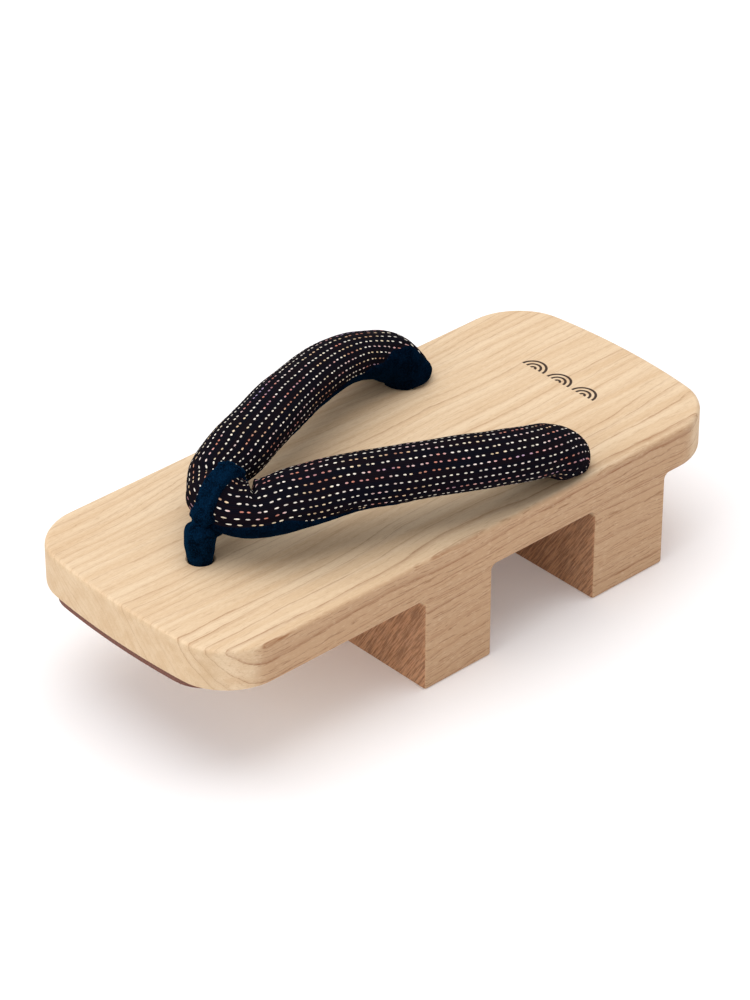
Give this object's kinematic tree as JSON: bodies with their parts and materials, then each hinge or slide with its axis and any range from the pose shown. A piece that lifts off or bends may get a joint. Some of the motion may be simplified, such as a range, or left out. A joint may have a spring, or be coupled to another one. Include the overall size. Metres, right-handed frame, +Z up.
{
  "type": "geta sandal",
  "caption": "Wooden sandal on two teeth: a flat rounded deck with a padded V-shaped cloth strap held by a velvet toe loop.",
  "frame": {"origin": "on the ground under the middle of the wooden base", "axes": "+Z up, -Y towards the toe, +Y towards the heel, +X towards the wearer's left"},
  "size_m": [0.1158, 0.25, 0.0881],
  "materials": {
    "pale_wood": "planed, unvarnished",
    "pad_rubber": "matte",
    "striped_cloth": "woven, rows of small coloured dashes",
    "blue_velvet": "short pile",
    "cotton_cord": "twisted cord"
  },
  "bodies": {
    "root": {"wood_base": "pale_wood", "toe_pad": "pad_rubber", "strap": "striped_cloth", "toe_loop": "blue_velvet", "toe_knot": "cotton_cord", "heel_cord": "cotton_cord"}
  },
  "joints": []
}
